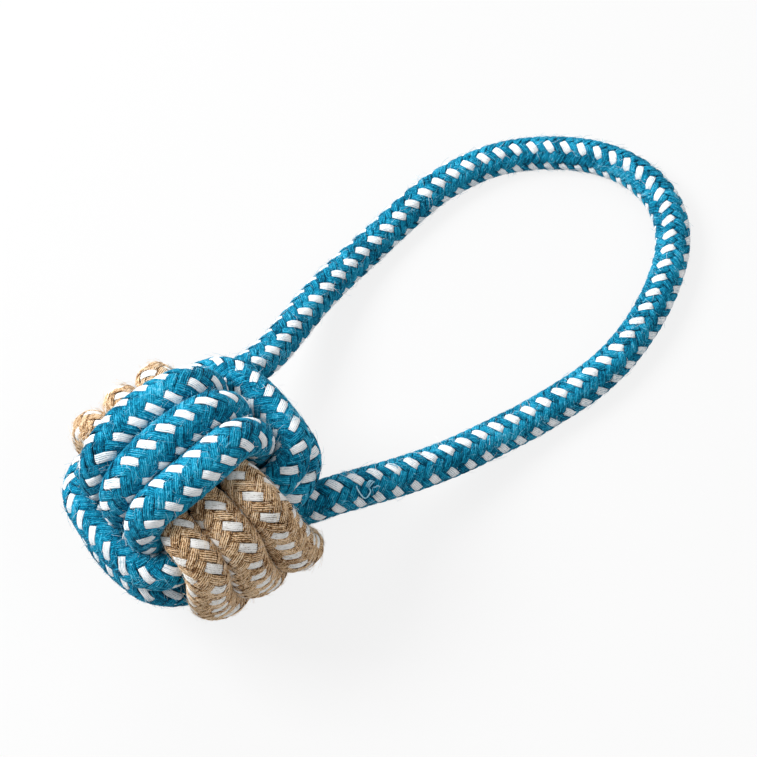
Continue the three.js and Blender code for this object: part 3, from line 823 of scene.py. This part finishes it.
def pulled_yarns():
    """Tubes along eased lines through places on the rope: its line and, at an angle round it, its radius and
    the height off it. Rings are turned by the same two directions square to the line."""
    run = SLACK_RUN + PULLED_YARNS[..., 0]
    angle = np.radians(PULLED_YARNS[..., 1])[..., None]
    side, out = rope_sides(handle_line, handle_side)

    def at(values):
        """Values of the handle's line at the yarns' runs."""
        return np.stack([np.interp(run, handle_run, values[:, k]) for k in range(3)], -1)

    reach = (np.interp(run, handle_run, handle_half) + PULLED_YARNS[..., 2])[..., None]
    points = at(handle_line) + reach * (np.cos(angle) * at(side) + np.sin(angle) * at(out))
    lines = np.stack([eased_route(p) for p in points])
    lines = lines[:, np.linspace(0, lines.shape[1] - 1, YARN_RINGS).astype(int)]
    ahead = unit(np.gradient(lines, axis=1))
    across = unit(np.cross(ahead, X))
    up = np.cross(ahead, across)
    turn = 2 * np.pi * np.arange(YARN_SIDES)[:, None] / YARN_SIDES
    ring = np.cos(turn) * across[:, :, None] + np.sin(turn) * up[:, :, None]
    return lines[:, :, None] + YARN_RADIUS * ring


yarns = pulled_yarns()
quads, ends = tube_faces(0, len(yarns), YARN_RINGS, YARN_SIDES)
slack = mesh_object("handle_pulled_yarns", yarns.reshape(-1, 3), [quads], [ends])
add_map(slack, tube_map(len(yarns), YARN_RINGS, YARN_SIDES, YARN_COLUMNS, 0, 1))
way = np.broadcast_to(np.linspace(0, YARN_LENGTH, YARN_RINGS)[:, None], yarns.shape[:3])
shade = rng.random(len(yarns))[:, None, None]
# Height 1 is painted as lying high: a touch lighter.
add_attributes(slack, packed(way, 0.5, shade), packed(YARN_PALENESS, 1, np.ones(way.shape)))
slack.data.materials.append(blue_rope)
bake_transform(slack)

# Studio: a pale table top, a large soft lamp from the upper left, a weaker one from behind and one from the
# front right, and the camera at the photograph's angle, turned about its own axis.
FLOOR_CORNERS = np.array([[-900, -900, 0], [1100, -900, 0], [1100, 900, 0], [-900, 900, 0]], float)
FLOOR_GREY = (0.55, 0.55, 0.55, 1)
FLOOR_GLOW = 0.84
AMBIENT = 0.25
WHITE_LIGHT = (1, 1, 1, 1)


def seen_directly(tree):
    """1 for what the camera sees, straight or in a reflection or through something clear."""
    path = tree.nodes.new("ShaderNodeLightPath").outputs
    seen = put(tree, "Math", path["Is Camera Ray"], path["Is Glossy Ray"], operation="MAXIMUM")
    return put(tree, "Math", seen, path["Is Transmission Ray"], operation="MAXIMUM")


table_top = mesh_object("table_top", FLOOR_CORNERS, [np.array([[0, 1, 2, 3]])])
table_material, tree, shader = matt_material("pale_table", 0.9, 0.0)
shader.inputs["Base Color"].default_value = FLOOR_GREY
glow = put(tree, "Emission", WHITE_LIGHT, 1.0)
share = put(tree, "Math", seen_directly(tree), FLOOR_GLOW, operation="MULTIPLY")
mixed = put(tree, "MixShader", share, shader.outputs[0], glow)
tree.links.new(mixed, tree.nodes["Material Output"].inputs["Surface"])
table_top.data.materials.append(table_material)

scene = bpy.context.scene
world = bpy.data.worlds.new("studio")
scene.world = world
world.use_nodes = True
tree = world.node_tree
strength = put(tree, "Math", seen_directly(tree), 1 - AMBIENT, AMBIENT, operation="MULTIPLY_ADD")
tree.links.new(strength, tree.nodes["Background"].inputs["Strength"])
tree.nodes["Background"].inputs["Color"].default_value = WHITE_LIGHT

CAMERA_AZIMUTH, CAMERA_ELEVATION, CAMERA_ROLL = np.radians([-8.0, 63.0, 33.0])
CAMERA_DISTANCE = 420.0
CAMERA_SENSOR, CAMERA_NEAR = 36, 0.01
PIXELS_PER_MM = 4.12
PICTURE = 757
BALL_PIXEL = np.array([193.5, 488.0])


def camera_axes():
    """Right, up and back axes of a camera that sees the ball's centre at its pixel, from the given side and
    height and with the picture turned by the roll. Gives them with its place and its focal length in
    pixels."""
    a, e, r = CAMERA_AZIMUTH, CAMERA_ELEVATION, CAMERA_ROLL
    back_way = np.array([np.sin(a) * np.cos(e), -np.cos(a) * np.cos(e), np.sin(e)])
    right = np.array([np.cos(a), np.sin(a), 0])
    up = np.cross(back_way, right)
    base = np.stack([right * np.cos(r) - up * np.sin(r), right * np.sin(r) + up * np.cos(r), back_way], 1)
    focal = PIXELS_PER_MM * CAMERA_DISTANCE
    middle = PICTURE / 2
    seen = unit(np.array([(BALL_PIXEL[0] - middle) / focal, -(BALL_PIXEL[1] - middle) / focal, -1]))
    ahead = np.array([0, 0, -1.0])
    axis = np.cross(seen, ahead)
    cosine = seen @ ahead
    skew = np.array([[0, -axis[2], axis[1]], [axis[2], 0, -axis[0]], [-axis[1], axis[0], 0]])
    turned = base @ (np.eye(3) + skew + skew @ skew / (1 + cosine))
    return turned, BALL_CENTRE + CAMERA_DISTANCE * back_way, focal


def stand(item, axes, place):
    """Links a lamp or camera to the scene, with the given axes at a place in metres."""
    matrix = np.eye(4)
    matrix[:3, :3] = axes
    matrix[:3, 3] = place
    scene.collection.objects.link(item)
    item.matrix_world = Matrix(matrix.tolist())


def lamp(name, place, aim, size, power):
    """Square area lamp at a place, turned to its aim."""
    data = bpy.data.lights.new(name, "AREA")
    data.size = size
    data.energy = power
    back_way = unit(np.array(place, float) - np.array(aim, float))
    right = unit(np.cross(Z, back_way))
    axes = np.stack([right, np.cross(back_way, right), back_way], 1)
    stand(bpy.data.objects.new(name, data), axes, place)


axes, place, focal = camera_axes()
camera_data = bpy.data.cameras.new("camera")
camera_data.sensor_width = CAMERA_SENSOR
camera_data.lens = CAMERA_SENSOR * focal / PICTURE
camera_data.clip_start = CAMERA_NEAR
camera = bpy.data.objects.new("camera", camera_data)
stand(camera, axes, place * MM)
scene.camera = camera
lamp("window_left", place=(-0.26, 0.48, 0.66), aim=(0.04, 0, 0.02), size=0.4, power=9.4)
lamp("window_behind", place=(0.3, 0.55, 0.45), aim=(0.0, 0, 0.03), size=0.5, power=2.5)
lamp("fill_front", place=(0.3, -0.5, 0.58), aim=(0.04, 0, 0.02), size=0.6, power=2.2)

scene.view_settings.view_transform = "Standard"
